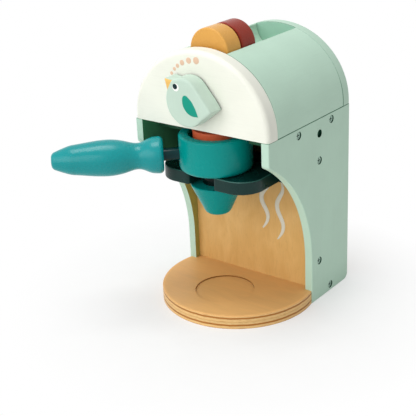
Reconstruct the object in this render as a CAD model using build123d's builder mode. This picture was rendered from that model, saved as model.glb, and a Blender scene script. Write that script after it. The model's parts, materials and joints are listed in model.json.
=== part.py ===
from build123d import *
import os
from math import cos, radians, sin

# A wooden toy coffee maker: a half-round housing on two side panels and a round plywood foot,
# a portafilter that slides and swivels in a slotted shelf, a turning knob and three capsules.
# Millimetres. +Z is up, +X is to the right seen from the front, +Y goes to the back.
# The origin is on the floor, under the upright axis that the portafilter swivels about.

# ---------------------------------------------------------------- driving dimensions
# clearances
glue_gap = 0.05  # round a glued dowel, rod or screw
running_fit = 0.05  # round a turning shaft
sliding_gap = 0.3  # between pieces that slide past each other
blind_gap = 0.5  # spare depth at the bottom of a blind hole

# housing
body_width = 140.0
front_y = -22.0  # front face of the side panels and of the front plate
panel_thickness = 7.3
panel_depth = 128.4
panel_height = 172.6  # where the half-round housing starts
panel_arc_radius = 126.0  # swept-back front edge
panel_arc_foot = 41.0  # height where that edge turns upright
panel_foot_setback = 65.0  # of the upright lower edge behind the front face
panel_corner_radius = 4.0
panel_heel_radius = 6.0
housing_foot = 3.0  # straight part of its sides, below the half ellipse
housing_rise = 67.9  # of its top above the side panels
front_plate_thickness = 13.5
front_plate_round = 4.0
rear_plate_thickness = 11.0
rear_plate_round = 2.0
edge_round = 1.0
seam_round = 0.5
trough_radius = 20.5
trough_depth = 24.1  # from the top of the housing to the bottom of the trough

# boards
base_thickness = 12.5
base_radius = 71.0
base_centre_y = 27.0
base_tail_setback = 7.0  # of its back edge in front of the panels' back edges
cup_recess_radius = 27.0
cup_recess_depth = 1.2
cup_recess_y = 4.9
back_board_y = 49.3  # its front face
back_board_thickness = 12.5
deck_thickness = 12.0
front_deck_y = 0.0  # its front edges, either side of the notch
rear_deck_setback = 17.8  # of its back edge in front of the panels' back edges
deck_notch_gap = 3.1  # between the basket and the front deck's notch

# slotted shelf
basket_headroom = 7.2  # from the basket's rim up to the foot of the housing
fork_thickness = 11.7
fork_overhang = 1.6  # of the tongue in front of the panels
fork_tongue_width = 100.2
fork_shoulder_setback = 44.0
fork_corner_radius = 21.3
fork_slot_width = 26.0
fork_mouth_radius = 3.0

# portafilter
basket_radius = 32.0
basket_height = 32.0
basket_bottom_round = 4.0
basket_top_round = 2.0
pocket_floor = 16.7  # above the basket's underside
pocket_gap = 3.3  # round the capsule
stem_radius = 6.0
stem_seat = 10.0  # depth of the stem in the basket and in the spout
spout_drop = 1.7  # from the shelf's underside to the top of the spout
spout_top_radius = 24.0
spout_tip_radius = 10.5
spout_height = 28.6
spout_tip_round = 5.0
handle_angle = 41.0  # of the handle forward of straight left
handle_rise = 14.1  # of its axis above the shelf
rod_radius = 5.5
rod_end_wall = 2.0  # left between the rod's end and the pocket
rod_grip_seat = 20.0
grip_start = 45.2  # distances along the handle from the swivel axis
grip_neck_at = 57.0
grip_waist_at = 65.0
grip_shoulder_at = 78.0
grip_belly_at = 98.0
grip_taper_at = 120.0
grip_end = 141.0
grip_collar_radius = 16.0
grip_neck_radius = 14.8
grip_waist_radius = 11.6
grip_shoulder_radius = 13.7
grip_belly_radius = 15.6
grip_taper_radius = 13.2
grip_tip_radius = 5.0
grip_collar_round = 3.8
grip_tip_round = 2.8

# capsules
capsule_radius = 19.5
capsule_thickness = 19.0
capsule_round = 1.2
first_capsule_y = -4.2  # front face of the capsule behind the front plate
capsule_spacing = 2.1

# knob
knob_height = 28.0  # of its axis above the panels
knob_radius = 20.8
knob_thickness = 15.5
knob_round = 1.2
knob_shaft_radius = 4.0
knob_shaft_seat = 10.0
washer_radius = 9.0
washer_thickness = 1.0
retainer_radius = 9.0
retainer_thickness = 4.0
retainer_gap = 1.0  # round and behind the retainer in its pocket

# fasteners
dowel_radius = 3.0
dowel_length = 16.0
deck_dowel_inset = 14.0  # from the side panels
front_dowel_setback = 10.0  # behind the front deck's front edges
plate_dowel_inset = 24.0  # from the housing's sides
plate_dowel_rise = 20.0  # above the side panels
screw_head_radius = 3.4
screw_shank_radius = 1.75
screw_length = 30.0
screw_point_length = 4.0
screw_recess = 1.0  # of the heads below the panels' faces
front_screw_offset = 2.0  # in front of the middle of the front deck
deep_screw_drop = 13.5  # below the top of the side panels
deep_screw_recess = 2.5
middle_screw_drop = 38.1  # below the top of the side panels
low_screw_z = 38.3
screw_cross_length = 4.2
screw_cross_width = 0.9
screw_cross_depth = 1.2

# ---------------------------------------------------------------- worked-out places
half_width = body_width / 2
inner_half = half_width - panel_thickness
back_y = front_y + panel_depth
arch_top = panel_height + housing_rise
arch_front_y = front_y + front_plate_thickness
arch_back_y = back_y - rear_plate_thickness
trough_floor = arch_top - trough_depth
trough_centre = trough_floor + trough_radius
panel_foot_y = front_y + panel_foot_setback
back_board_back = back_board_y + back_board_thickness
deck_floor = panel_height - deck_thickness
rear_deck_depth = back_y - rear_deck_setback - back_board_back
notch_radius = basket_radius + deck_notch_gap
basket_top = panel_height - basket_headroom
fork_top = basket_top - basket_height
fork_floor = fork_top - fork_thickness
fork_front_y = front_y - fork_overhang
fork_shoulder_y = front_y + fork_shoulder_setback
spout_top = fork_floor - spout_drop
capsule_seat = fork_top + pocket_floor
pocket_radius = capsule_radius + pocket_gap
collar_radius = fork_slot_width / 2 - sliding_gap
rod_z = fork_top + handle_rise
rod_start = pocket_radius + rod_end_wall
knob_z = panel_height + knob_height
knob_back_y = front_y - washer_thickness
retainer_y = arch_front_y + sliding_gap
pierced_depth = 2 * half_width  # longer than any piece, for holes that go right through

os.makedirs("parts", exist_ok=True)


def upright(y, z=0):
    """A plane at depth y that faces the front: local x is +X, local y is +Z from height z."""
    return Plane(origin=(0, y, z), x_dir=(1, 0, 0), z_dir=(0, -1, 0))


def finish(piece, name):
    """Label a finished piece and write it to its own file."""
    piece.part.label = name
    export_step(piece.part, f"parts/{name}.step")


# ---------------------------------------------------------------- screws and dowels
# (y, z, how far the head lies below the panel's face) of each screw through a side panel
deck_middle_z = panel_height - deck_thickness / 2
front_deck_middle_y = (front_deck_y + back_board_y) / 2
rear_deck_middle_y = back_board_back + rear_deck_depth / 2
back_board_middle_y = back_board_y + back_board_thickness / 2
screw_rows = [
    (front_deck_middle_y - front_screw_offset, deck_middle_z, screw_recess),
    (rear_deck_middle_y, deck_middle_z, screw_recess),
    (back_board_middle_y, panel_height - deep_screw_drop, deep_screw_recess),
    (back_board_middle_y, panel_height - middle_screw_drop, screw_recess),
    (back_board_middle_y, low_screw_z, screw_recess),
    ((panel_foot_y + back_y) / 2, base_thickness / 2, screw_recess),
]


def side_planes(side):
    """A plane on each screw's head, facing out of the side panel on that side."""
    places = []
    for y, z, recess in screw_rows:
        origin = (side * (half_width - recess), y, z)
        places.append(Plane(origin=origin, x_dir=(0, side, 0), z_dir=(side, 0, 0)))
    return places


def pilot_holes():
    """Holes for the side screws of both panels, cut where they enter the piece being made."""
    for side in (1, -1):
        with Locations(*side_planes(side)):
            Hole(screw_shank_radius + glue_gap, depth=screw_length + blind_gap)


def dowel_holes(places, facing):
    """Blind holes for half a dowel at each place, in a face whose outward normal is facing."""
    with Locations(*[Plane(origin=place, z_dir=facing) for place in places]):
        Hole(dowel_radius + glue_gap, depth=dowel_length / 2 + blind_gap)


def make_dowels(places, along):
    """A group of dowels centred on the places, lying along a direction."""
    with BuildPart() as dowels:
        with Locations(*[Plane(origin=place, z_dir=along) for place in places]):
            Cylinder(dowel_radius, dowel_length)
        chamfer(dowels.edges(), length=seam_round)
    return dowels


def dowel_pair(x, y, z):
    """A dowel's place and its mirror image on the other side of the machine."""
    return [(-x, y, z), (x, y, z)]


front_dowel_y = front_deck_y + front_dowel_setback
front_deck_places = dowel_pair(inner_half - deck_dowel_inset, front_dowel_y, panel_height)
rear_deck_places = dowel_pair(inner_half / 2, rear_deck_middle_y, panel_height)
plate_dowel_x = half_width - plate_dowel_inset
front_plate_places = dowel_pair(plate_dowel_x, arch_front_y, panel_height + plate_dowel_rise)
rear_plate_places = dowel_pair(plate_dowel_x, arch_back_y, panel_height + plate_dowel_rise)
fork_places = dowel_pair(inner_half / 2, back_board_y, fork_floor + fork_thickness / 2)

# ---------------------------------------------------------------- side panels
arc_centre_y = panel_foot_y - panel_arc_radius
arc_reach = front_y - arc_centre_y
arc_top_angle = Vector(arc_reach, (panel_arc_radius**2 - arc_reach**2) ** 0.5).get_angle(Vector(1, 0))
arc_top_z = panel_arc_foot + panel_arc_radius * sin(radians(arc_top_angle))

with BuildPart() as right_side_panel:
    with BuildSketch(Plane.YZ.offset(inner_half)):
        with BuildLine():
            front_arc = CenterArc((arc_centre_y, panel_arc_foot), panel_arc_radius, 0, arc_top_angle)
            Polyline(
                front_arc @ 1,
                (front_y, panel_height),
                (back_y, panel_height),
                (back_y, 0),
                (panel_foot_y, 0),
                front_arc @ 0,
            )
        outline = make_face()
        fillet(outline.vertices().sort_by_distance((front_y, arc_top_z, 0))[0], panel_corner_radius)
    extrude(amount=panel_thickness)
    heel = right_side_panel.edges().filter_by(Axis.X).sort_by_distance((half_width, back_y, 0))[0]
    fillet(heel, panel_heel_radius)
    outer_face = right_side_panel.faces().sort_by(Axis.X)[-1]
    top_edge = outer_face.edges().sort_by(Axis.Z)[-1]
    fillet([edge for edge in outer_face.edges() if edge != top_edge], edge_round)
    outer_face = right_side_panel.faces().sort_by(Axis.X)[-1]
    chamfer(outer_face.edges().sort_by(Axis.Z)[-1], length=seam_round)
    with Locations(*side_planes(1)):
        CounterSinkHole(
            screw_shank_radius + glue_gap,
            screw_head_radius + glue_gap,
            depth=pierced_depth,
            counter_sink_angle=90,
        )
    for plane, (_, _, recess) in zip(side_planes(1), screw_rows):
        with Locations(plane.offset(recess)):
            Hole(screw_head_radius + glue_gap, depth=recess)
finish(right_side_panel, "right_side_panel")

with BuildPart() as left_side_panel:
    mirror(right_side_panel.part, about=Plane.YZ)
finish(left_side_panel, "left_side_panel")

# one countersunk screw with its head's face at the origin and its point downwards
head_depth = screw_head_radius - screw_shank_radius
with BuildPart() as side_screw:
    with BuildSketch(Plane.XZ):
        with BuildLine():
            Polyline(
                (0, 0),
                (screw_head_radius, 0),
                (screw_shank_radius, -head_depth),
                (screw_shank_radius, screw_point_length - screw_length),
                (0, -screw_length),
                close=True,
            )
        make_face()
    revolve(axis=Axis.Z)
    with BuildSketch(Plane.XY):
        Rectangle(screw_cross_length, screw_cross_width)
        Rectangle(screw_cross_width, screw_cross_length)
    extrude(amount=-screw_cross_depth, mode=Mode.SUBTRACT)

for side, name in ((-1, "left_side_screws"), (1, "right_side_screws")):
    with BuildPart() as screws:
        with Locations(*side_planes(side)):
            add(side_screw.part)
    finish(screws, name)

# ---------------------------------------------------------------- boards
with BuildPart() as base_board:
    with BuildSketch():
        with Locations((0, base_centre_y)):
            Circle(base_radius)
        with Locations((0, panel_foot_y)):
            Rectangle(4 * half_width, panel_depth * 2, align=(Align.CENTER, Align.MIN), mode=Mode.SUBTRACT)
        with Locations((0, base_centre_y)):
            Rectangle(
                2 * inner_half,
                back_y - base_tail_setback - base_centre_y,
                align=(Align.CENTER, Align.MIN),
            )
    extrude(amount=base_thickness)
    rim_edges = base_board.edges().filter_by(GeomType.CIRCLE).sort_by(Axis.Z)[-1]
    fillet(rim_edges, edge_round)
    with Locations((0, cup_recess_y, base_thickness)):
        Hole(cup_recess_radius, depth=cup_recess_depth)
    pilot_holes()
finish(base_board, "base_board")

with BuildPart() as back_board:
    with BuildSketch(Plane.XY.offset(base_thickness)):
        with Locations((0, back_board_y)):
            Rectangle(2 * inner_half, back_board_thickness, align=(Align.CENTER, Align.MIN))
    extrude(amount=panel_height - base_thickness)
    pilot_holes()
    dowel_holes(fork_places, (0, -1, 0))
finish(back_board, "back_board")

with BuildPart() as front_deck:
    with BuildSketch(Plane.XY.offset(deck_floor)):
        with Locations((0, front_deck_y)):
            Rectangle(2 * inner_half, back_board_y - front_deck_y, align=(Align.CENTER, Align.MIN))
        Circle(notch_radius, mode=Mode.SUBTRACT)
    extrude(amount=deck_thickness)
    pilot_holes()
    dowel_holes(front_deck_places, (0, 0, 1))
finish(front_deck, "front_deck")

with BuildPart() as rear_deck:
    with BuildSketch(Plane.XY.offset(deck_floor)):
        with Locations((0, back_board_back)):
            Rectangle(2 * inner_half, rear_deck_depth, align=(Align.CENTER, Align.MIN))
    extrude(amount=deck_thickness)
    pilot_holes()
    dowel_holes(rear_deck_places, (0, 0, 1))
finish(rear_deck, "rear_deck")


# ---------------------------------------------------------------- half-round housing
def housing_outline():
    """The housing's outline, to add to a sketch on an upright plane at the panels' top."""
    with BuildSketch() as outline:
        with BuildLine():
            crown = EllipticalCenterArc(
                (0, housing_foot), half_width, housing_rise - housing_foot, arc_size=180
            )
            Polyline(crown @ 0, (half_width, 0), (-half_width, 0), crown @ 1)
        make_face()
    return outline.sketch


def rim_edges_at(piece, y):
    """The piece's curved outer edges at depth y, without the edge that lies on the panels."""
    edges = piece.edges().filter_by(lambda e: abs(e.center().Y - y) < seam_round)
    return edges.filter_by(lambda e: e.center().Z > panel_height + seam_round)


with BuildPart() as arch_body:
    with BuildSketch(upright(arch_back_y, panel_height)):
        add(housing_outline())
        with Locations((0, trough_centre - panel_height)):
            Circle(trough_radius, mode=Mode.SUBTRACT)
            Rectangle(
                2 * trough_radius, trough_depth, align=(Align.CENTER, Align.MIN), mode=Mode.SUBTRACT
            )
    extrude(amount=arch_back_y - arch_front_y)
    lips = arch_body.edges().filter_by(Axis.Y).group_by(Axis.Z)[-1]
    fillet(lips, edge_round)
    chamfer(arch_body.edges().filter_by(Axis.Y).group_by(Axis.Z)[0], length=seam_round)
    for y in (arch_front_y, arch_back_y):
        rims = rim_edges_at(arch_body, y).filter_by(lambda e: abs(e.center().X) > trough_radius)
        chamfer(rims, length=seam_round)
    retainer_pocket = (0, arch_front_y, knob_z)
    with Locations(Plane(origin=retainer_pocket, z_dir=(0, -1, 0))):
        Hole(retainer_radius + retainer_gap, depth=sliding_gap + retainer_thickness + retainer_gap)
    dowel_holes(front_deck_places + rear_deck_places, (0, 0, -1))
    dowel_holes(front_plate_places, (0, -1, 0))
    dowel_holes(rear_plate_places, (0, 1, 0))
finish(arch_body, "arch_body")

with BuildPart() as front_plate:
    with BuildSketch(upright(arch_front_y, panel_height)):
        add(housing_outline())
    extrude(amount=front_plate_thickness)
    fillet(rim_edges_at(front_plate, front_y), front_plate_round)
    fillet(rim_edges_at(front_plate, arch_front_y), seam_round)
    with Locations(Plane(origin=(0, front_y, knob_z), z_dir=(0, -1, 0))):
        Hole(knob_shaft_radius + running_fit)
    dowel_holes(front_plate_places, (0, 1, 0))
finish(front_plate, "front_plate")

with BuildPart() as rear_plate:
    with BuildSketch(upright(back_y, panel_height)):
        add(housing_outline())
    extrude(amount=rear_plate_thickness)
    fillet(rim_edges_at(rear_plate, back_y), rear_plate_round)
    fillet(rim_edges_at(rear_plate, arch_back_y), seam_round)
    dowel_holes(rear_plate_places, (0, -1, 0))
finish(rear_plate, "rear_plate")

finish(make_dowels(front_deck_places + rear_deck_places, (0, 0, 1)), "deck_dowels")
finish(make_dowels(front_plate_places, (0, 1, 0)), "front_plate_dowels")
finish(make_dowels(rear_plate_places, (0, 1, 0)), "rear_plate_dowels")
finish(make_dowels(fork_places, (0, 1, 0)), "fork_dowels")

# ---------------------------------------------------------------- slotted shelf
with BuildPart() as fork_board:
    with BuildSketch(Plane.XY.offset(fork_floor)) as fork_sketch:
        with Locations((0, fork_front_y)):
            Rectangle(
                fork_tongue_width, back_board_y - fork_front_y, align=(Align.CENTER, Align.MIN)
            )
            front_corners = fork_sketch.vertices().group_by(Axis.Y)[0]
            fillet(front_corners, fork_corner_radius)
        with Locations((0, fork_shoulder_y)):
            Rectangle(
                2 * inner_half, back_board_y - fork_shoulder_y, align=(Align.CENTER, Align.MIN)
            )
        Circle(fork_slot_width / 2, mode=Mode.SUBTRACT)
        Rectangle(
            fork_slot_width, -fork_front_y, align=(Align.CENTER, Align.MAX), mode=Mode.SUBTRACT
        )
        mouth_corners = fork_sketch.vertices().group_by(Axis.Y)[0].sort_by(Axis.X)[1:-1]
        fillet(mouth_corners, fork_mouth_radius)
    extrude(amount=fork_thickness)
    rounded = fork_board.edges().filter_by(lambda e: e.center().Y < fork_shoulder_y - edge_round)
    fillet(rounded.group_by(Axis.Z)[-1], edge_round)
    rounded = fork_board.edges().filter_by(lambda e: e.center().Y < fork_shoulder_y - edge_round)
    fillet(rounded.group_by(Axis.Z)[0], edge_round)
    dowel_holes(fork_places, (0, 1, 0))
finish(fork_board, "fork_board")

# ---------------------------------------------------------------- portafilter
handle_dir = (-cos(radians(handle_angle)), -sin(radians(handle_angle)), 0)
handle_side = (-sin(radians(handle_angle)), cos(radians(handle_angle)), 0)
# local x runs along the handle from the swivel axis, local y is up
handle_plane = Plane(origin=(0, 0, rod_z), x_dir=handle_dir, z_dir=handle_side)
handle_axis = Axis((0, 0, rod_z), handle_dir)


def across_handle(distance):
    """A plane square to the handle, at a distance along it, facing outwards."""
    return Plane(origin=Vector(0, 0, rod_z) + Vector(*handle_dir) * distance, z_dir=handle_dir)


rod_end = grip_start + rod_grip_seat

with BuildPart() as filter_basket:
    with Locations((0, 0, fork_top)):
        Cylinder(basket_radius, basket_height, align=(Align.CENTER, Align.CENTER, Align.MIN))
    fillet(filter_basket.edges().filter_by(GeomType.CIRCLE).sort_by(Axis.Z)[0], basket_bottom_round)
    with Locations((0, 0, basket_top)):
        Hole(pocket_radius, depth=basket_height - pocket_floor)
    fillet(filter_basket.edges().filter_by(GeomType.CIRCLE).group_by(Axis.Z)[-1], basket_top_round)
    with Locations(Plane(origin=(0, 0, fork_top), z_dir=(0, 0, -1))):
        Hole(stem_radius + glue_gap, depth=stem_seat + blind_gap)
    with BuildSketch(across_handle(rod_start)):
        Circle(rod_radius + glue_gap)
    extrude(amount=basket_radius, mode=Mode.SUBTRACT)
finish(filter_basket, "filter_basket")

with BuildPart() as basket_stem:
    with BuildSketch(Plane.XY.offset(spout_top - stem_seat)):
        Circle(stem_radius)
    extrude(amount=fork_top - spout_top + 2 * stem_seat)
    chamfer(basket_stem.edges().filter_by(GeomType.CIRCLE), length=seam_round)
finish(basket_stem, "basket_stem")

with BuildPart() as neck_collar:
    with BuildSketch(Plane.XY.offset(spout_top)):
        Circle(collar_radius)
        Circle(stem_radius + running_fit, mode=Mode.SUBTRACT)
    extrude(amount=fork_top - spout_top)
finish(neck_collar, "neck_collar")

with BuildPart() as spout_cone:
    with BuildSketch(Plane.XZ) as cone_half:
        with BuildLine():
            Polyline(
                (0, spout_top),
                (spout_top_radius, spout_top),
                (spout_tip_radius, spout_top - spout_height),
                (0, spout_top - spout_height),
                close=True,
            )
        make_face()
        tip = cone_half.vertices().group_by(Axis.Y)[0].sort_by(Axis.X)[-1]
        fillet(tip, spout_tip_round)
        rim = cone_half.vertices().group_by(Axis.Y)[-1].sort_by(Axis.X)[-1]
        fillet(rim, edge_round)
    revolve(axis=Axis.Z)
    with Locations((0, 0, spout_top)):
        Hole(stem_radius + glue_gap, depth=stem_seat + blind_gap)
finish(spout_cone, "spout_cone")

with BuildPart() as handle_rod:
    with BuildSketch(across_handle(rod_start + glue_gap)):
        Circle(rod_radius)
    extrude(amount=rod_end - rod_start - glue_gap)
finish(handle_rod, "handle_rod")

with BuildPart() as handle_grip:
    with BuildSketch(handle_plane):
        with BuildLine():
            face_line = Line((grip_start, 0), (grip_start, grip_collar_radius - grip_collar_round))
            collar_round = RadiusArc(
                face_line @ 1,
                (grip_start + grip_collar_round, grip_collar_radius),
                grip_collar_round,
            )
            body_curve = Spline(
                collar_round @ 1,
                (grip_neck_at, grip_neck_radius),
                (grip_waist_at, grip_waist_radius),
                (grip_shoulder_at, grip_shoulder_radius),
                (grip_belly_at, grip_belly_radius),
                (grip_taper_at, grip_taper_radius),
                (grip_end - grip_tip_round, grip_tip_radius + grip_tip_round),
                tangents=[(1, 0), (1, -0.4)],
            )
            tip_arc = TangentArc(body_curve @ 1, (grip_end, grip_tip_radius), tangent=body_curve % 1)
            Polyline(tip_arc @ 1, (grip_end, 0), (grip_start, 0))
        make_face()
    revolve(axis=handle_axis)
    with BuildSketch(across_handle(grip_start)):
        Circle(rod_radius + glue_gap)
    extrude(amount=rod_grip_seat + blind_gap, mode=Mode.SUBTRACT)
finish(handle_grip, "handle_grip")

# ---------------------------------------------------------------- capsules
with BuildPart() as coral_capsule:
    with BuildSketch(Plane.XY.offset(capsule_seat)):
        Circle(capsule_radius)
    extrude(amount=capsule_thickness)
    fillet(coral_capsule.edges().filter_by(GeomType.CIRCLE), capsule_round)
finish(coral_capsule, "coral_capsule")

capsule_z = trough_floor + sliding_gap + capsule_radius
capsule_pitch = capsule_thickness + capsule_spacing
for count, name in enumerate(("mustard_capsule", "burgundy_capsule")):
    with BuildPart() as lying_capsule:
        with BuildSketch(upright(first_capsule_y + count * capsule_pitch, capsule_z)):
            Circle(capsule_radius)
        extrude(amount=-capsule_thickness)
        fillet(lying_capsule.edges().filter_by(GeomType.CIRCLE), capsule_round)
    finish(lying_capsule, name)

# ---------------------------------------------------------------- knob
# the bird's outline: points measured from the knob's axis, in shares of the knob's radius
beak_tip = (-1.03 * knob_radius, 0.89 * knob_radius)
beak_top = (-0.635 * knob_radius, 0.837 * knob_radius)
crown = (-0.216 * knob_radius, 0.976 * knob_radius)
nape = (0.173 * knob_radius, 0.909 * knob_radius)
back_middle = (0.635 * knob_radius, 0.49 * knob_radius)
tail_tip = (1.216 * knob_radius, -0.26 * knob_radius)
tail_slope = (0.5, -0.86)
throat_angle = 155.0
belly_angle = 136.0  # from the throat round to where the tail's lower line starts

with BuildPart() as bird_knob:
    with BuildSketch(upright(knob_back_y, knob_z)):
        with BuildLine():
            belly = CenterArc((0, 0), knob_radius, throat_angle, belly_angle)
            Polyline(belly @ 0, beak_tip, beak_top)
            head = ThreePointArc(beak_top, crown, nape)
            Spline(nape, back_middle, tail_tip, tangents=[head % 1, tail_slope])
            Line(tail_tip, belly @ 1)
        make_face()
    extrude(amount=knob_thickness)
    fillet(bird_knob.faces().sort_by(Axis.Y)[0].edges(), knob_round)
    with Locations(Plane(origin=(0, knob_back_y, knob_z), z_dir=(0, 1, 0))):
        Hole(knob_shaft_radius + glue_gap, depth=knob_shaft_seat + blind_gap)
finish(bird_knob, "bird_knob")

retainer_back = retainer_y + retainer_thickness
with BuildPart() as knob_shaft:
    with BuildSketch(upright(retainer_back, knob_z)):
        Circle(knob_shaft_radius)
    extrude(amount=retainer_back - knob_back_y + knob_shaft_seat)
finish(knob_shaft, "knob_shaft")


def turning_ring(back, radius, thickness):
    """A ring on the knob's shaft, from its back face forwards."""
    with BuildPart() as ring:
        with BuildSketch(upright(back, knob_z)):
            Circle(radius)
            Circle(knob_shaft_radius + glue_gap, mode=Mode.SUBTRACT)
        extrude(amount=thickness)
    return ring


finish(turning_ring(front_y, washer_radius, washer_thickness), "knob_washer")
finish(turning_ring(retainer_back, retainer_radius, retainer_thickness), "knob_retainer")
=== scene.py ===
import bpy
import json
import math
from mathutils import Matrix, Vector


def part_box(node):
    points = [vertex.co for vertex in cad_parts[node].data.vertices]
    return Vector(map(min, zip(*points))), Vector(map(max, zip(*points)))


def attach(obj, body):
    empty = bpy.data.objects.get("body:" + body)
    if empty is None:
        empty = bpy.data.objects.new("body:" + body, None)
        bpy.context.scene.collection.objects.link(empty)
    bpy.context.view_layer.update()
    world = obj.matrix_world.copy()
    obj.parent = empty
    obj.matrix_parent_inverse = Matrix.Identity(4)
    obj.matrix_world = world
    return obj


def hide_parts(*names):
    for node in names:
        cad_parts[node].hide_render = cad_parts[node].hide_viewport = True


# A wooden toy coffee maker: painted boards, turned wooden parts, a plywood foot and printed
# details.
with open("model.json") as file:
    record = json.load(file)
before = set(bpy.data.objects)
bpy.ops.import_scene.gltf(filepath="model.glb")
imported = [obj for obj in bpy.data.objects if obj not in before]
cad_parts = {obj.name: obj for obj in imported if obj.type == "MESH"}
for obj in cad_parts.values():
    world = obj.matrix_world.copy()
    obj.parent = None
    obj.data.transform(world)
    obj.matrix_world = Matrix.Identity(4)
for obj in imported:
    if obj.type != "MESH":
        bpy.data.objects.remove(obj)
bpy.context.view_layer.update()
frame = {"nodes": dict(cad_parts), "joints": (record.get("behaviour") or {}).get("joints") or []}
nodes = frame["nodes"]

MM = 0.001

# ---------------------------------------------------------------- the camera
CAMERA_AZIMUTH = math.radians(38.15)
CAMERA_ELEVATION = math.radians(22.83)
CAMERA_ROLL = math.radians(-2.61)
CAMERA_PLACE = Vector((0.5005, -0.6519, 0.4408))
CAMERA_LENS = 87.58  # millimetres
CAMERA_REACH = 10  # metres


def towards(azimuth, elevation):
    """The direction at an azimuth, from the front round to the right, and an elevation."""
    return Vector((
        math.sin(azimuth) * math.cos(elevation),
        -math.cos(azimuth) * math.cos(elevation),
        math.sin(elevation),
    ))


def add_camera():
    """The camera looks at the machine from its front right, and is rolled a little."""
    back = towards(CAMERA_AZIMUTH, CAMERA_ELEVATION)
    level_right = Vector((math.cos(CAMERA_AZIMUTH), math.sin(CAMERA_AZIMUTH), 0))
    level_up = back.cross(level_right)
    right = math.cos(CAMERA_ROLL) * level_right + math.sin(CAMERA_ROLL) * level_up
    up = back.cross(right)
    bpy.ops.object.camera_add()
    camera = bpy.context.object
    camera.name = "main_camera"
    camera.data.lens = CAMERA_LENS
    camera.data.clip_end = CAMERA_REACH
    turn = Matrix((right, up, back)).transposed()
    camera.matrix_world = Matrix.Translation(CAMERA_PLACE) @ turn.to_4x4()
    bpy.context.scene.camera = camera


add_camera()


# ---------------------------------------------------------------- helpers for finishes
def rgb(red, green, blue):
    """A screen colour from 0 to 255, as the linear colour that a shader wants."""
    def linear(value):
        share = value / 255
        return share / 12.92 if share <= 0.04045 else ((share + 0.055) / 1.055) ** 2.4
    return (linear(red), linear(green), linear(blue), 1)


def shade(colour, factor):
    """The same colour, lighter or darker."""
    return tuple(min(1, part * factor) for part in colour[:3]) + (1,)


PURE_WHITE = (1, 1, 1, 1)
PURE_BLACK = (0, 0, 0, 1)


class NodeTree:
    """A tree of shader nodes in the making."""

    def __init__(self, tree):
        self.tree = tree

    def feed(self, socket, value):
        """Links another node's output to a socket, or sets the socket to a plain value."""
        if isinstance(value, bpy.types.NodeSocket):
            self.tree.links.new(value, socket)
        else:
            socket.default_value = value

    def node(self, kind, inputs=None, **options):
        """Adds a node with its options, and feeds its inputs."""
        made = self.tree.nodes.new("ShaderNode" + kind)
        for option, value in options.items():
            setattr(made, option, value)
        for socket, value in (inputs or {}).items():
            self.feed(made.inputs[socket], value)
        return made

    def math(self, operation, first, second=0.0):
        """What an operation such as MULTIPLY makes of one or two values."""
        return self.node("Math", {0: first, 1: second}, operation=operation).outputs[0]

    def shown(self):
        """1 where the background itself is seen, plainly, in a mirror or through glass."""
        rays = self.node("LightPath").outputs
        seen = self.math("MAXIMUM", rays["Is Camera Ray"], rays["Is Glossy Ray"])
        return self.math("MAXIMUM", seen, rays["Is Transmission Ray"])


class Finish(NodeTree):
    """A material in the making: its nodes, its shader and the place of a point on the piece.

    centre and turn set a frame of its own for patterns that follow a turned or slanting piece.
    """

    def __init__(self, name, centre=(0, 0, 0), turn=(0, 0, 0)):
        self.material = bpy.data.materials.new(name)
        self.material.use_nodes = True
        super().__init__(self.material.node_tree)
        self.shader = self.tree.nodes["Principled BSDF"]
        coordinates = self.node("TexCoord")
        self.normal = coordinates.outputs["Normal"]
        frame_of_piece = self.node(
            "Mapping",
            {"Vector": coordinates.outputs["Object"], "Location": centre, "Rotation": turn},
            vector_type="TEXTURE",
        )
        self.place = frame_of_piece.outputs["Vector"]

    def give(self, socket, value):
        """Sets or links one of the shader's sockets."""
        self.feed(self.shader.inputs[socket], value)

    def along(self, axis):
        """How far a point lies along the piece's own x, y or z."""
        return self.node("SeparateXYZ", {"Vector": self.place}).outputs[axis]

    def facing(self, axis):
        """How squarely the surface faces along x, y or z, from -1 to 1."""
        return self.node("SeparateXYZ", {"Vector": self.normal}).outputs[axis]

    def distance(self, centre, across=(1, 1, 1)):
        """How far a point lies from a centre, measured along the axes that have a 1 in across."""
        offset = self.node("VectorMath", {0: self.place, 1: centre}, operation="SUBTRACT")
        offset = self.node("VectorMath", {0: offset.outputs[0], 1: across}, operation="MULTIPLY")
        length = self.node("VectorMath", {0: offset.outputs[0]}, operation="LENGTH")
        return length.outputs["Value"]

    def noise(self, size, detail=2.0, distortion=0.0, stretch=(1, 1, 1)):
        """A cloudy pattern of spots of about this size, drawn out along an axis by stretch."""
        scale = [1 / (size * share) for share in stretch]
        place = self.node("Mapping", {"Vector": self.place, "Scale": scale}).outputs["Vector"]
        inputs = {"Vector": place, "Scale": 1.0, "Detail": detail, "Distortion": distortion}
        return self.node("TexNoise", inputs).outputs["Fac"]

    def spread(self, value, low, high, to_low=0.0, to_high=1.0):
        """Spreads what lies between low and high over another range, and cuts off the rest."""
        inputs = {0: value, 1: low, 2: high, 3: to_low, 4: to_high}
        return self.node("MapRange", inputs, clamp=True).outputs[0]

    def uneven(self, noise, least=0.0, most=1.0):
        """A value that follows a noise, most of which lies between 0.3 and 0.7."""
        return self.spread(noise, 0.3, 0.7, least, most)

    def mix(self, share, first, second):
        """A colour between two others."""
        return self.node("Mix", {0: share, 6: first, 7: second}, data_type="RGBA").outputs[2]

    def bands(self, value, stops):
        """A colour for each stretch of a value: stops are pairs of a position and a colour."""
        ramp = self.node("ValToRGB", {"Fac": value})
        elements = ramp.color_ramp.elements
        while len(elements) < len(stops):
            elements.new(1)
        for element, (position, colour) in zip(elements, stops):
            element.position = position
            element.color = colour
        return ramp.outputs["Color"]

    def bump(self, height, depth, below=None):
        """Raises the surface by depth metres where the height is 1."""
        inputs = {"Height": height, "Distance": depth}
        if below is not None:
            inputs["Normal"] = below
        return self.node("Bump", inputs).outputs["Normal"]


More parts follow.
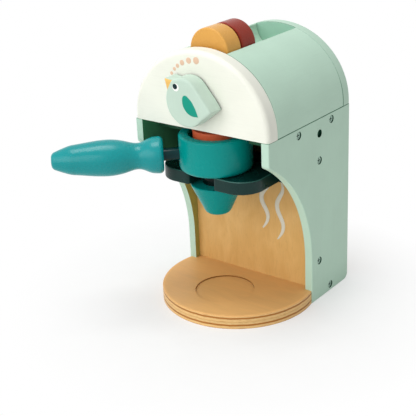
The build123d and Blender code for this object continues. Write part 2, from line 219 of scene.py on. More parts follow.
# ---------------------------------------------------------------- paints
PAINT_SHINE = 0.16  # satin paint mirrors less than bare plastic
FIBRES_ALONG = {"X": (26, 1, 1), "Y": (1, 26, 1), "Z": (1, 1, 26)}


def board_fibres(paint, axis):
    """The fibres of a painted board, which run along one axis."""
    return paint.noise(0.9 * MM, detail=3, distortion=0.3, stretch=FIBRES_ALONG[axis])


def brushed_colour(paint, colour, fibres, depth=0.018):
    """Paint that lies a little thicker and thinner, over wood whose fibres show faintly."""
    cloud = paint.spread(paint.noise(30 * MM, detail=3), 0.35, 0.65)
    coat = paint.mix(cloud, shade(colour, 1 - depth), shade(colour, 1 + depth))
    pores = paint.spread(fibres, 0.35, 0.5, 0.08, 0)
    return paint.mix(pores, coat, shade(colour, 0.8))


def sprayed_surface(paint, fibres):
    """The fine orange peel of sprayed paint, over fibres that stand out a little."""
    orange_peel = paint.noise(1.6 * MM, detail=1)
    return paint.bump(orange_peel, 0.03 * MM, paint.bump(fibres, 0.02 * MM))


def satin_paint(name, colour, fibres_along, roughness=0.42, shine=PAINT_SHINE, layers=()):
    """Sprayed satin paint on a board, with the wood's fibres along one axis.

    layers are laid on in their order. Each is a function that makes a mask from the finish, and
    a colour, or a function that makes one.
    """
    paint = Finish(name)
    fibres = board_fibres(paint, fibres_along)
    coat = brushed_colour(paint, colour, fibres)
    for mask, layer in layers:
        coat = paint.mix(mask(paint), coat, layer(paint) if callable(layer) else layer)
    paint.give("Base Color", coat)
    paint.give("Specular IOR Level", shine)
    cloud = paint.noise(9 * MM, detail=2)
    paint.give("Roughness", paint.uneven(cloud, roughness - 0.05, roughness + 0.06))
    paint.give("Normal", sprayed_surface(paint, fibres))
    return paint.material


def turned_paint(name, colour, centre=(0, 0, 0), turn=(0, 0, 0), shine=PAINT_SHINE):
    """Satin paint on a piece turned on a lathe. The lathe's axis is the frame's z."""
    paint = Finish(name, centre, turn)
    fibres = paint.noise(1.1 * MM, detail=3, stretch=(1, 1, 22))
    paint.give("Base Color", brushed_colour(paint, colour, fibres))
    paint.give("Specular IOR Level", shine)
    paint.give("Roughness", paint.uneven(paint.noise(8 * MM, detail=2), 0.23, 0.33))
    tool_rings = paint.noise(0.8 * MM, detail=2, stretch=(60, 60, 1))
    orange_peel = paint.noise(1.5 * MM, detail=1)
    normal = paint.bump(tool_rings, 0.02 * MM)
    paint.give("Normal", paint.bump(orange_peel, 0.025 * MM, normal))
    return paint.material


def gloss_lacquer(name, colour):
    """Thick dark lacquer that mirrors the lamps softly."""
    lacquer = Finish(name)
    cloud = lacquer.uneven(lacquer.noise(6 * MM, detail=2))
    lacquer.give("Base Color", lacquer.mix(cloud, shade(colour, 0.8), shade(colour, 1.25)))
    lacquer.give("Roughness", lacquer.spread(cloud, 0, 1, 0.12, 0.2))
    lacquer.give("Specular IOR Level", 0.16)
    lacquer.give("Normal", lacquer.bump(lacquer.noise(2 * MM, detail=1), 0.03 * MM))
    return lacquer.material


def printed_ink(name, colour):
    """Silk-screen ink: a thin even layer with tiny pinholes."""
    ink = Finish(name)
    pinholes = ink.spread(ink.noise(0.35 * MM, detail=2), 0.28, 0.36, 0.35, 0)
    ink.give("Base Color", ink.mix(pinholes, colour, shade(colour, 0.7)))
    ink.give("Roughness", ink.uneven(ink.noise(3 * MM), 0.42, 0.55))
    ink.give("Specular IOR Level", PAINT_SHINE)
    ink.give("Normal", ink.bump(ink.noise(0.5 * MM, detail=1), 0.01 * MM))
    return ink.material


# ---------------------------------------------------------------- woods
VARNISH_SHINE = 0.3
SHELF_MIDDLE = (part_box("fork_board")[0].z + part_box("fork_board")[1].z) / 2


def varnished_board(name, pale, warm):
    """A clear-varnished board with upright fibres, soft figure and a warm blush.

    Its front is painted dark above the shelf, as painted shade where the housing closes over it.
    """
    wood = Finish(name)
    figure = wood.noise(12 * MM, detail=3, distortion=0.9, stretch=(1, 1, 2.6))
    blush = wood.spread(wood.noise(26 * MM, detail=2, stretch=(1, 1, 1.3)), 0.35, 0.65)
    fibres = wood.noise(0.6 * MM, detail=3, stretch=(1, 1, 18))
    flecks = wood.noise(0.9 * MM, detail=1, stretch=(1, 1, 5))
    body = wood.mix(wood.spread(figure, 0.25, 0.75, 0.15, 0.85), pale, warm)
    body = wood.mix(wood.math("MULTIPLY", blush, 0.4), body, shade(warm, 0.94))
    body = wood.mix(wood.spread(fibres, 0.36, 0.5, 0.14, 0), body, shade(warm, 0.66))
    body = wood.mix(wood.spread(flecks, 0.66, 0.74, 0, 0.2), body, shade(warm, 0.6))
    # painted shade on the board's front above the shelf
    above_shelf = wood.spread(wood.along("Z"), SHELF_MIDDLE - 0.5 * MM, SHELF_MIDDLE + 0.5 * MM)
    in_front = wood.spread(wood.facing("Y"), -0.9, -0.5, 1, 0)
    painted_shade = wood.math("MULTIPLY", above_shelf, in_front)
    wood.give("Base Color", wood.mix(painted_shade, body, shade(warm, 0.2)))
    wood.give("Specular IOR Level", VARNISH_SHINE)
    wood.give("Roughness", wood.uneven(figure, 0.4, 0.52))
    wood.give("Normal", wood.bump(fibres, 0.03 * MM))
    return wood.material


FOOT_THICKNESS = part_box("base_board")[1].z
FOOT_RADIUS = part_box("base_board")[1].x
FOOT_CENTRE = (0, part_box("base_board")[0].y + FOOT_RADIUS, 0)
CUP_RECESS_RADIUS = 27 * MM
CUP_RECESS_CENTRE = (0, 4.9 * MM, FOOT_THICKNESS)


def veneer_face(wood, veneer, figure, fibres):
    """The veneer on top of the foot and under it, with a painted highlight round the rim."""
    face = wood.mix(wood.spread(figure, 0.35, 0.65), shade(veneer, 0.96), shade(veneer, 1.05))
    face = wood.mix(wood.spread(fibres, 0.36, 0.5, 0.12, 0), face, shade(veneer, 0.68))
    # a painted highlight along the rounded rim of the top
    from_middle = wood.distance(FOOT_CENTRE, (1, 1, 0))
    rim = wood.spread(from_middle, FOOT_RADIUS - 3.2 * MM, FOOT_RADIUS - 1.4 * MM, 0, 0.8)
    return wood.mix(rim, face, shade(veneer, 1.14))


def ply_edge(wood, height, gaps, veneer, pale_ply, dark_ply):
    """The sawn edge: its layers at their heights, as shares of the thickness, and its gaps."""
    glue = shade(dark_ply, 0.85)
    # the lowest band is dark as painted contact shade by the floor, the top band light as a
    # painted highlight
    edge = wood.bands(height, [
        (0.0, dark_ply), (0.05, pale_ply), (0.19, pale_ply),
        (0.21, glue), (0.24, dark_ply), (0.31, dark_ply), (0.33, glue), (0.35, pale_ply),
        (0.52, shade(pale_ply, 0.9)), (0.54, shade(dark_ply, 1.4)), (0.56, pale_ply),
        (0.73, pale_ply), (0.75, glue), (0.78, dark_ply), (0.85, dark_ply), (0.87, glue),
        (0.885, pale_ply), (0.945, pale_ply), (0.96, shade(dark_ply, 1.6)),
        (0.975, shade(veneer, 1.12)),
    ])
    end_grain = wood.noise(0.5 * MM, detail=3, stretch=(9, 9, 1))
    edge = wood.mix(wood.spread(end_grain, 0.35, 0.5, 0.35, 0), edge, shade(dark_ply, 0.9))
    # the voids in the edge are real, and are painted near black as the shade inside them
    edge = wood.mix(gaps, edge, shade(dark_ply, 0.22))
    # painted shade on the wall of the cup's recess
    from_recess = wood.distance(CUP_RECESS_CENTRE)
    recess_wall_shade = wood.math("LESS_THAN", from_recess, CUP_RECESS_RADIUS + 0.3 * MM)
    return wood.mix(recess_wall_shade, edge, shade(dark_ply, 0.6))


def birch_plywood(name, veneer, pale_ply, dark_ply):
    """A varnished veneer on the flat faces and the layers, glue lines and gaps on the edge."""
    wood = Finish(name)
    figure = wood.noise(13 * MM, detail=3, distortion=0.7, stretch=(4, 1, 1))
    fibres = wood.noise(0.55 * MM, detail=3, stretch=FIBRES_ALONG["X"])
    wobble = wood.spread(wood.noise(9 * MM, detail=2, stretch=(1, 1, 100)), 0.2, 0.8, -0.02, 0.02)
    height = wood.math("ADD", wood.math("DIVIDE", wood.along("Z"), FOOT_THICKNESS), wobble)
    near_glue = wood.bands(height, [
        (0.0, PURE_BLACK), (0.19, PURE_BLACK), (0.22, PURE_WHITE), (0.32, PURE_WHITE),
        (0.35, PURE_BLACK), (0.73, PURE_BLACK), (0.76, PURE_WHITE), (0.86, PURE_WHITE),
        (0.88, PURE_BLACK),
    ])
    gaps = wood.spread(wood.noise(2.4 * MM, detail=2, stretch=(2.2, 2.2, 0.5)), 0.66, 0.7)
    gaps = wood.math("MULTIPLY", gaps, near_glue)
    on_edge = wood.spread(wood.math("ABSOLUTE", wood.facing("Z")), 0.55, 0.75, 1, 0)
    face = veneer_face(wood, veneer, figure, fibres)
    edge = ply_edge(wood, height, gaps, veneer, pale_ply, dark_ply)
    wood.give("Base Color", wood.mix(on_edge, face, edge))
    wood.give("Specular IOR Level", VARNISH_SHINE)
    wood.give("Roughness", wood.uneven(figure, 0.38, 0.5))
    hollows = wood.math("SUBTRACT", wood.math("MULTIPLY", near_glue, -0.6), gaps)
    edge_bump = wood.bump(wood.math("MULTIPLY", hollows, on_edge), 0.12 * MM)
    wood.give("Normal", wood.bump(fibres, 0.02 * MM, edge_bump))
    return wood.material


def bare_beech(name, colour):
    """Unfinished beech dowel: fine fibres and short dark flecks."""
    wood = Finish(name)
    fibres = wood.noise(0.5 * MM, detail=3, stretch=(1, 1, 16))
    flecks = wood.noise(1.1 * MM, detail=1, stretch=(1, 1, 3))
    body = wood.mix(wood.spread(fibres, 0.35, 0.6), shade(colour, 0.84), shade(colour, 1.05))
    body = wood.mix(wood.spread(flecks, 0.64, 0.7, 0, 0.5), body, shade(colour, 0.5))
    wood.give("Base Color", body)
    wood.give("Roughness", wood.uneven(fibres, 0.6, 0.75))
    wood.give("Normal", wood.bump(fibres, 0.04 * MM))
    return wood.material


# ---------------------------------------------------------------- hardware
# how far back and how high each screw's hole stands, in millimetres
SCREW_PLACES = [
    (22.65, 166.6), (75.2, 166.6), (55.55, 159.1), (55.55, 134.5), (55.55, 38.3), (74.7, 6.25),
]
HOLE_RADIUS = 3.6 * MM
DEEP_HOLE = SCREW_PLACES[2]  # its screw sits so deep that it lies in shadow
DEEP_HOLE_REACH = 4 * MM
HEAD_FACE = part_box("right_side_screws")[1].x


def near_screws(places, radius):
    """A mask for what lies within a radius of the axes of screws."""
    def mask(paint):
        found = 0.0
        for y, z in places:
            away = paint.distance((0, y * MM, z * MM), (0, 1, 1))
            found = paint.math("MAXIMUM", found, paint.math("LESS_THAN", away, radius))
        return found
    return mask


def plated_screw(name):
    """Dull plated steel under the panels' spray paint, with painted shade in the cross and in the
    deep hole.
    """
    steel = Finish(name)
    tarnish = steel.spread(steel.noise(1.2 * MM, detail=3), 0.35, 0.65)
    face = steel.mix(tarnish, rgb(168, 206, 188), rgb(196, 226, 210))
    # painted shade in the cross of the head
    outwards = steel.math("ABSOLUTE", steel.along("X"))
    cross_shade = steel.spread(outwards, HEAD_FACE - 0.3 * MM, HEAD_FACE - 0.1 * MM, 1, 0)
    face = steel.mix(cross_shade, face, rgb(24, 66, 54))
    # painted shade over the head that sits deep in its hole
    deep_hole_shade = near_screws([DEEP_HOLE], DEEP_HOLE_REACH)(steel)
    steel.give("Base Color", steel.mix(deep_hole_shade, face, rgb(52, 108, 84)))
    steel.give("Metallic", 0.1)
    steel.give("Roughness", steel.spread(tarnish, 0, 1, 0.38, 0.55))
    steel.give("Normal", steel.bump(steel.noise(0.4 * MM, detail=2), 0.02 * MM))
    return steel.material


def pressed_felt(name):
    """Dark wool felt."""
    felt = Finish(name)
    wool = felt.noise(0.5 * MM, detail=4, distortion=1.5)
    felt.give("Base Color", felt.mix(felt.uneven(wool), rgb(48, 50, 48), rgb(84, 86, 82)))
    felt.give("Roughness", 0.95)
    felt.give("Sheen Weight", 0.4)
    felt.give("Normal", felt.bump(wool, 0.2 * MM))
    return felt.material


# ---------------------------------------------------------------- layers in the paint: seams, painted shade and painted highlights
PANEL_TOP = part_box("right_side_panel")[1].z
REAR_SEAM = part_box("rear_plate")[0].y
FRONT_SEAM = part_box("front_plate")[1].y
TROUGH_HALF_WIDTH = 20.5 * MM
SEAM_SHADOW = rgb(70, 120, 94)
HOLE_SHADOW = rgb(24, 66, 48)
# painted shade on the rear plate's face at the end of the trough
TROUGH_END_SHADE = rgb(165, 208, 187)
# a painted highlight along the shelf's rounded top edge
EDGE_HIGHLIGHT_GREEN = rgb(58, 104, 96)


def on_inner_faces(paint):
    """A mask for the faces that look into the cup place and the brewing place above it."""
    facing_in = paint.math("MULTIPLY", paint.facing("X"), paint.math("SIGN", paint.along("X")))
    before_board = paint.math("LESS_THAN", paint.along("Y"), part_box("back_board")[0].y + 1 * MM)
    return paint.math("MULTIPLY", paint.spread(facing_in, -0.8, -0.5, 1, 0), before_board)


def inner_bounce_and_shade(paint):
    """The panels' inner faces: olive painted bounce light below the shelf, green painted shade
    above.
    """
    above = paint.spread(paint.along("Z"), SHELF_MIDDLE - 4 * MM, SHELF_MIDDLE + 4 * MM)
    return paint.mix(above, rgb(165, 164, 90), rgb(80, 148, 108))


def seam_mask(paint, axis, place, reach=0.25 * MM):
    """A thin line on the faces that meet the plane across an axis at a place.

    The line is full up to its reach from the plane, and has faded at twice that.
    """
    away = paint.math("ABSOLUTE", paint.math("SUBTRACT", paint.along(axis), place))
    meets_plane = paint.math("LESS_THAN", paint.math("ABSOLUTE", paint.facing(axis)), 0.8)
    return paint.math("MULTIPLY", paint.spread(away, reach, 2 * reach, 1, 0), meets_plane)


def along_panel_top(paint):
    """The joint between the housing and the side panels."""
    return seam_mask(paint, "Z", PANEL_TOP)


def along_rear_seam(paint):
    """The joint with the rear plate, which the paint fills over the top but not in the trough."""
    unfilled = paint.spread(paint.along("Z"), PANEL_TOP + 10 * MM, PANEL_TOP + 38 * MM, 1, 0.12)
    from_middle = paint.math("ABSOLUTE", paint.along("X"))
    in_trough = paint.math("LESS_THAN", from_middle, TROUGH_HALF_WIDTH + 0.2 * MM)
    line = seam_mask(paint, "Y", REAR_SEAM, 0.35 * MM)
    return paint.math("MULTIPLY", line, paint.math("MAXIMUM", unfilled, in_trough))


def along_front_seam(paint):
    """The joint with the white plate, which shows most over the top."""
    share = paint.spread(paint.along("Z"), PANEL_TOP + 15 * MM, PANEL_TOP + 50 * MM, 0.1, 0.8)
    return paint.math("MULTIPLY", seam_mask(paint, "Y", FRONT_SEAM, 0.3 * MM), share)


def end_of_trough(paint):
    """The front face of the rear plate, which shows only behind the trough."""
    return paint.spread(paint.facing("Y"), -0.9, -0.8, 1, 0)


def on_upper_rounding(paint):
    """A mask for the rounded edge between the top and the sides of a board, where a highlight is
    painted.
    """
    up = paint.facing("Z")
    return paint.math("MULTIPLY", paint.spread(up, 0.2, 0.5), paint.spread(up, 0.9, 0.97, 1, 0))


# ---------------------------------------------------------------- finishes of the frame's pieces
GREEN = rgb(192, 222, 203)
WHITE = rgb(240, 241, 229)
KNOB_GREEN = rgb(195, 216, 201)
TEAL = rgb(0, 146, 140)
HANDLE_TEAL = rgb(0, 143, 146)
DARK_GREEN = rgb(8, 47, 43)

LYING = (math.radians(90), 0, 0)  # a lathe axis that lies along y
ALONG_HANDLE = (0, math.radians(-90), math.radians(41.0))
HANDLE_HEIGHT = sum(corner.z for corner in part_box("handle_grip")) / 2


def middle_of(node):
    """The middle of a CAD node's box."""
    low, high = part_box(node)
    return (low + high) / 2


def dress(node, material):
    """Gives a CAD node its finish."""
    nodes[node].data.materials.clear()
    nodes[node].data.materials.append(material)


panel_paint = satin_paint("panel_green", GREEN, "Z", layers=[
    # painted bounce light and painted shade on the inner faces
    (on_inner_faces, inner_bounce_and_shade),
    (along_panel_top, SEAM_SHADOW),
    (near_screws(SCREW_PLACES, HOLE_RADIUS), HOLE_SHADOW),
])
dress("left_side_panel", panel_paint)
dress("right_side_panel", panel_paint)
dress("arch_body", satin_paint("housing_green", GREEN, "Y", layers=[
    (along_front_seam, SEAM_SHADOW),
    (along_rear_seam, SEAM_SHADOW),
    (along_panel_top, SEAM_SHADOW),
]))
# the rear plate's green is a darker copy of the panels', as painted shade
dress("rear_plate", satin_paint("rear_green", shade(GREEN, 0.94), "X", layers=[
    (end_of_trough, TROUGH_END_SHADE),
    (along_rear_seam, SEAM_SHADOW),
    (along_panel_top, SEAM_SHADOW),
]))
dress("front_plate", satin_paint("front_white", WHITE, "X", roughness=0.5))
dress("fork_board", satin_paint("shelf_green", DARK_GREEN, "X", roughness=0.3, shine=0.25, layers=[
    (on_upper_rounding, EDGE_HIGHLIGHT_GREEN),
]))
# the deck's dark green is painted shade, matching the shade under the white plate
dress("front_deck", satin_paint("deck_green", rgb(42, 88, 62), "X"))

board_wood = varnished_board("back_board_wood", pale=rgb(236, 195, 128), warm=rgb(218, 169, 96))
dress("back_board", board_wood)
dress("rear_deck", board_wood)
dress("base_board", birch_plywood(
    "base_plywood",
    veneer=rgb(231, 179, 114), pale_ply=rgb(239, 198, 133), dark_ply=rgb(180, 116, 48),
))

dress("filter_basket", turned_paint("basket_teal", TEAL))
# the spout's teal is a darker copy of the basket's, as painted shade under the shelf
dress("spout_cone", turned_paint("spout_teal", shade(TEAL, 0.9), shine=0.1))
dress("handle_grip", turned_paint(
    "grip_teal", HANDLE_TEAL, (0, 0, HANDLE_HEIGHT), ALONG_HANDLE, shine=0.33,
))
dress("coral_capsule", turned_paint(
    "coral_red", rgb(217, 101, 65), middle_of("coral_capsule"),
))
dress("mustard_capsule", turned_paint(
    "mustard_yellow", rgb(224, 167, 84), middle_of("mustard_capsule"), LYING,
))
dress("burgundy_capsule", turned_paint(
    "burgundy_red", rgb(147, 50, 34), middle_of("burgundy_capsule"), LYING,
))

dress("handle_rod", gloss_lacquer("rod_black", rgb(4, 50, 52)))
dress("neck_collar", gloss_lacquer("collar_black", rgb(3, 22, 20)))
beech = bare_beech("dowel_beech", rgb(214, 178, 134))
for name in (
    "basket_stem", "knob_shaft", "knob_retainer",
    "deck_dowels", "front_plate_dowels", "rear_plate_dowels", "fork_dowels",
):
    dress(name, beech)
screw_steel = plated_screw("screw_plating")
dress("left_side_screws", screw_steel)
dress("right_side_screws", screw_steel)
dress("knob_washer", pressed_felt("washer_felt"))


# ---------------------------------------------------------------- modelling helpers
SAME_PLACE = 0.001 * MM  # points that lie closer than this are one point


def choose(piece, *others):
    """Selects just these pieces, and makes the first the one that operators work on."""
    bpy.ops.object.select_all(action="DESELECT")
    for chosen in (piece, *others):
        chosen.select_set(True)
    bpy.context.view_layer.objects.active = piece


def open_mesh(piece):
    """Opens a piece in edit mode, with all of it selected and its doubled points merged."""
    choose(piece)
    bpy.ops.object.mode_set(mode="EDIT")
    bpy.ops.mesh.select_all(action="SELECT")
    bpy.ops.mesh.remove_doubles(threshold=SAME_PLACE)


def apply_modifier(piece, kind, **settings):
    """Adds a modifier with its settings and applies it."""
    choose(piece)
    modifier = piece.modifiers.new(kind.lower(), kind)
    for setting, value in settings.items():
        setattr(modifier, setting, value)
    bpy.ops.object.modifier_apply(modifier=modifier.name)


def joined(pieces):
    """Makes one piece of several."""
    choose(*pieces)
    bpy.ops.object.join()
    return pieces[0]


def settle(piece, name, material, body):
    """Names a finished piece, puts its place into its mesh and lets it ride on its body."""
    choose(piece)
    bpy.ops.object.transform_apply(location=True, rotation=True, scale=True)
    piece.name = name
    piece.data.name = name
    piece.data.materials.clear()
    piece.data.materials.append(material)
    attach(piece, body)


UPRIGHT = (math.radians(90), 0, 0)  # stands a flat shape up, so that it faces the front
INK_THICKNESS = 0.12 * MM


def thicken_ink(piece):
    """Gives a flat printed shape the thickness and the soft rim of a layer of ink."""
    apply_modifier(piece, "SOLIDIFY", thickness=INK_THICKNESS, offset=1)
    apply_modifier(
        piece, "BEVEL", width=INK_THICKNESS / 3, segments=2, angle_limit=math.radians(60),
    )
    bpy.ops.object.shade_smooth_by_angle(angle=math.radians(40))


def printed_spot(x, y, z, radius):
    """A round spot of ink that faces the front."""
    bpy.ops.object.select_all(action="DESELECT")
    bpy.ops.mesh.primitive_circle_add(
        vertices=40, radius=radius, fill_type="NGON", location=(x, y, z), rotation=UPRIGHT,
    )
    spot = bpy.context.object
    thicken_ink(spot)
    return spot


def printed_shape(points, y, sharp=()):
    """A shape of ink that faces the front, from a smooth closed outline of (x, z) points.

    The points whose numbers are in sharp are corners.
    """
    bpy.ops.object.select_all(action="DESELECT")
    bpy.ops.curve.primitive_bezier_circle_add(location=(0, y, 0), rotation=UPRIGHT)
    outline = bpy.context.object
    outline.data.dimensions = "2D"
    outline.data.fill_mode = "BOTH"
    outline.data.resolution_u = 12
    spline = outline.data.splines[0]
    spline.bezier_points.add(len(points) - len(spline.bezier_points))
    for index, (knot, (x, z)) in enumerate(zip(spline.bezier_points, points)):
        knot.co = (x, z, 0)
        kind = "VECTOR" if index in sharp else "AUTO"
        knot.handle_left_type = kind
        knot.handle_right_type = kind
    bpy.ops.object.convert(target="MESH")
    shape = bpy.context.object
    open_mesh(shape)
    bpy.ops.mesh.dissolve_limited(angle_limit=math.radians(0.5))
    bpy.ops.object.mode_set(mode="OBJECT")
    thicken_ink(shape)
    return shape


# ---------------------------------------------------------------- the knob
knob_joint = next(joint for joint in frame["joints"] if joint["name"] == "knob_turn")
knob_axis = Vector(knob_joint["pos_m"])
KNOB_FACE_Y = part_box("bird_knob")[0].y
KNOB_BACK_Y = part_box("bird_knob")[1].y
BEAK_TOP = Vector((-13.2 * MM, 0, knob_axis.z + 17.6 * MM))
BEAK_FOOT = Vector((-18.6 * MM, 0, knob_axis.z + 8.2 * MM))
TO_BEAK = (BEAK_TOP - BEAK_FOOT).cross(Vector((0, 1, 0))).normalized()
BEAK_LINE = BEAK_TOP.dot(TO_BEAK)
BEAK_DEPTH = 1 * MM  # how far back the beak's yellow goes
SOFT_RIM = 0.1 * MM  # half the width over which one colour turns into the other
KNOB_GRAIN = 0.5 * MM  # how fine the mesh is that the edges are sanded in
SANDING_PASSES = 44
BEAK_KEPT = 0.65  # how much less the beak is sanded
BEAK_REACH = 4 * MM  # how far before the beak the sanding starts to weaken


def knob_paint(name):
    """The knob's pale green, with the beak's yellow on its front face and a painted shadow along
    its back rim.
    """
    paint = Finish(name)
    fibres = board_fibres(paint, "Z")
    coat = brushed_colour(paint, KNOB_GREEN, fibres, 0.02)
    beyond = paint.node("VectorMath", {0: paint.place, 1: TO_BEAK}, operation="DOT_PRODUCT")
    past_line = paint.spread(beyond.outputs["Value"], BEAK_LINE - SOFT_RIM, BEAK_LINE + SOFT_RIM)
    beak_back = KNOB_FACE_Y + BEAK_DEPTH
    in_front = paint.spread(paint.along("Y"), beak_back - SOFT_RIM, beak_back + SOFT_RIM, 1, 0)
    coat = paint.mix(paint.math("MULTIPLY", past_line, in_front), coat, rgb(236, 190, 106))
    # painted shadow of the gap between the knob and the plate
    back_rim_shadow = paint.spread(paint.along("Y"), KNOB_BACK_Y - 0.9 * MM, KNOB_BACK_Y - 0.5 * MM)
    paint.give("Base Color", paint.mix(back_rim_shadow, coat, shade(KNOB_GREEN, 0.35)))
    paint.give("Specular IOR Level", PAINT_SHINE)
    paint.give("Roughness", paint.uneven(paint.noise(8 * MM), 0.4, 0.5))
    paint.give("Normal", sprayed_surface(paint, fibres))
    return paint.material


def clamp(value):
    """The nearest value from 0 to 1."""
    return max(0.0, min(1.0, value))


def make_knob():
    """The bird-shaped knob with its front edges sanded soft. It stands for the frame's knob.

    The sanding is full in the front third of its thickness, and the back fifth is left alone.
    """
    mesh = nodes["bird_knob"].data.copy()
    knob = bpy.data.objects.new("bird_body", mesh)
    bpy.context.scene.collection.objects.link(knob)
    open_mesh(knob)
    bpy.ops.object.mode_set(mode="OBJECT")
    apply_modifier(knob, "REMESH", mode="VOXEL", voxel_size=KNOB_GRAIN)
    front = knob.vertex_groups.new(name="front")
    for vertex in knob.data.vertices:
        behind = (vertex.co.y - KNOB_FACE_Y) / (KNOB_BACK_Y - KNOB_FACE_Y)
        towards_beak = (vertex.co.dot(TO_BEAK) - BEAK_LINE) / BEAK_REACH + 1
        softness = clamp(1.6 - 2 * behind) * (1 - BEAK_KEPT * clamp(towards_beak))
        front.add([vertex.index], softness, "REPLACE")
    apply_modifier(knob, "SMOOTH", factor=0.5, iterations=SANDING_PASSES, vertex_group="front")
    knob.vertex_groups.clear()
    bpy.ops.object.shade_smooth()
    settle(knob, "bird_body", knob_paint("knob_green"), "knob")
    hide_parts("bird_knob")


make_knob()

EYE_X, EYE_Z = -9.2 * MM, knob_axis.z + 12.2 * MM
EYE_RADIUS = 3.3 * MM
PUPIL_X, PUPIL_Z = EYE_X - 0.6 * MM, EYE_Z + 0.7 * MM
PUPIL_RADIUS = 2.3 * MM
ring = printed_spot(EYE_X, KNOB_FACE_Y, EYE_Z, EYE_RADIUS)
settle(ring, "eye_ring", printed_ink("eye_white", rgb(250, 250, 246)), "knob")
pupil = printed_spot(PUPIL_X, KNOB_FACE_Y - INK_THICKNESS, PUPIL_Z, PUPIL_RADIUS)
settle(pupil, "eye_pupil", printed_ink("eye_black", rgb(8, 40, 42)), "knob")

# the wing's outline as (x, z) points, in millimetres from the knob's axis
WING_OUTLINE = [
    (-0.9, 6.4), (-3.0, 0.6), (0.2, -6.6), (5.6, -9.8), (12.7, -10.0), (9.4, -2.2), (4.3, 4.3),
]
WING_TIP = 4
wing_points = [(x * MM, knob_axis.z + z * MM) for x, z in WING_OUTLINE]
wing = printed_shape(wing_points, KNOB_FACE_Y, sharp=[WING_TIP])
settle(wing, "wing_print", printed_ink("wing_teal", rgb(18, 150, 128)), "knob")


# ---------------------------------------------------------------- the dots on the front plate
PLATE_FACE_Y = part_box("front_plate")[0].y
DOT_RING_RADIUS = 31.8 * MM
# how far round each dot stands, in degrees from straight up to the right, and its radius in
# millimetres
DOTS = [(-55.5, 1.5), (-46.2, 1.6), (-37.9, 1.8), (-27.3, 2.3), (-13.6, 2.6), (0.5, 3.0)]


def dial_dot(degrees, radius):
    """One dot of the row that curves round the knob."""
    angle = math.radians(degrees)
    x = DOT_RING_RADIUS * math.sin(angle)
    z = knob_axis.z + DOT_RING_RADIUS * math.cos(angle)
    return printed_spot(x, PLATE_FACE_Y, z, radius * MM)


dots = joined([dial_dot(degrees, radius) for degrees, radius in DOTS])
settle(dots, "dial_dots", printed_ink("dot_peach", rgb(230, 195, 168)), "machine")


# ---------------------------------------------------------------- the steam on the back board
BOARD_FACE_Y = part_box("back_board")[0].y
STROKE_FLATNESS = 0.1  # how thick a stroke of paint is, as a share of its width

# each wisp of steam: its points (x, z) and its widths, in millimetres
WISPS = [
    (
        [(13, 60), (19, 67), (20, 76), (13, 84), (11, 93), (18, 101), (23, 106), (20, 113)],
        [1.4, 3.4, 4.8, 5.2, 5.0, 4.4, 3.2, 1.2],
    ),
    (
        [(29, 52), (35, 59), (37, 69), (30, 78), (28, 88), (34, 97), (37, 104), (33, 111)],
        [1.2, 3.2, 4.6, 5.0, 4.8, 4.2, 3.0, 1.2],
    ),
]


def painted_stroke(points, widths):
    """A soft brush stroke on the back board through (x, z) points, as wide as the widths say."""
    bpy.ops.object.select_all(action="DESELECT")
    bpy.ops.curve.primitive_nurbs_path_add(location=(0, BOARD_FACE_Y, 0))
    path = bpy.context.object
    path.data.resolution_u = 8
    path.data.bevel_depth = 1.0  # so that each point's radius is in metres
    path.data.bevel_resolution = 3
    path.data.use_fill_caps = True
    spline = path.data.splines[0]
    spline.points.add(len(points) - len(spline.points))
    for knot, (x, z), width in zip(spline.points, points, widths):
        knot.co = (x * MM, 0, z * MM, 1)
        knot.radius = width / 2 * MM
    spline.order_u = 4
    spline.use_endpoint_u = True
    bpy.ops.object.convert(target="MESH")
    stroke = bpy.context.object
    open_mesh(stroke)
    bpy.ops.transform.resize(
        value=(1, STROKE_FLATNESS, 1), center_override=(0, BOARD_FACE_Y, 0),
    )
    bpy.ops.object.mode_set(mode="OBJECT")
    bpy.ops.object.shade_smooth()
    return stroke


steam = joined([painted_stroke(points, widths) for points, widths in WISPS])
settle(
    steam, "steam_print", printed_ink("steam_white", rgb(226, 222, 206)), "machine",
)


# ---------------------------------------------------------------- studio
AIM = Vector((0, 0.02, 0.12))


def add_softbox(name, azimuth, elevation, distance, width, height, power):
    """A large soft lamp that looks at the machine from an azimuth and an elevation in degrees.

    Its distance and its size are in metres and its power is in watts.
    """
    away = towards(math.radians(azimuth), math.radians(elevation))
    bpy.ops.object.light_add(type="AREA", location=AIM + away * distance)
    lamp = bpy.context.object
    lamp.name = name
    lamp.data.shape = "RECTANGLE"
    lamp.data.size = width
    lamp.data.size_y = height
    lamp.data.energy = power
    lamp.rotation_euler = (-away).to_track_quat("-Z", "Y").to_euler()


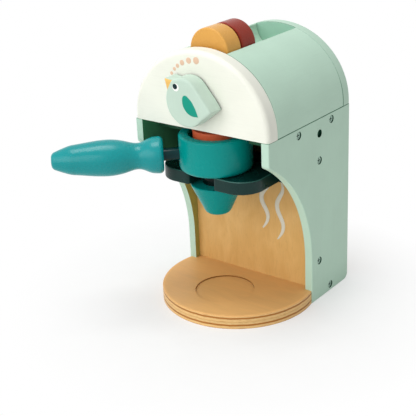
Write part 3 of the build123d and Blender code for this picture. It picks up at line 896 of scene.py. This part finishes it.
add_softbox(
    "front_softbox", azimuth=-11, elevation=24, distance=1.6, width=2.0, height=1.1, power=13.4,
)
add_softbox(
    "top_softbox", azimuth=-45, elevation=80, distance=1.5, width=0.75, height=0.75, power=11.5,
)

WORLD_LIGHT = 0.44


def add_world():
    """Dim even light all round, and a plain white background."""
    world = bpy.data.worlds.new("studio")
    bpy.context.scene.world = world
    world.use_nodes = True
    world.node_tree.nodes.clear()
    studio = NodeTree(world.node_tree)
    light = studio.node("Background", {"Color": PURE_WHITE, "Strength": WORLD_LIGHT})
    backdrop = studio.node("Background", {"Color": PURE_WHITE, "Strength": 1.0})
    mixed = studio.node(
        "MixShader", {0: studio.shown(), 1: light.outputs[0], 2: backdrop.outputs[0]},
    )
    studio.node("OutputWorld", {"Surface": mixed.outputs[0]})


add_world()

FLOOR_SIZE = 6
FLOOR_CENTRE = (0, 0.02, 0)
FLOOR_WHITE = 0.45  # how much plain white is mixed into the floor that the camera sees
FADE_START, FADE_END = 0.09, 0.21  # where the floor turns into the plain white background


def floor_finish():
    """A pale matt floor that keeps the soft shadow and fades to white away from the machine."""
    floor = Finish("studio_floor", FLOOR_CENTRE)
    grain = floor.uneven(floor.noise(30 * MM, detail=2))
    floor.give("Base Color", floor.mix(grain, rgb(240, 240, 239), rgb(243, 243, 242)))
    floor.give("Roughness", 0.8)
    floor.give("Specular IOR Level", 0.1)
    white = floor.node("Emission", {"Color": PURE_WHITE, "Strength": 1.0})
    fade = floor.spread(floor.distance((0, 0, 0)), FADE_START, FADE_END, FLOOR_WHITE, 1)
    share = floor.math("MULTIPLY", fade, floor.shown())
    mixed = floor.node("MixShader", {0: share, 1: floor.shader.outputs[0], 2: white.outputs[0]})
    output = floor.tree.nodes["Material Output"]
    floor.feed(output.inputs["Surface"], mixed.outputs[0])
    return floor.material


bpy.ops.object.select_all(action="DESELECT")
bpy.ops.mesh.primitive_plane_add(size=FLOOR_SIZE)
studio_floor = bpy.context.object
studio_floor.name = "studio_floor"
studio_floor.data.materials.append(floor_finish())

bpy.context.scene.view_settings.view_transform = "Standard"
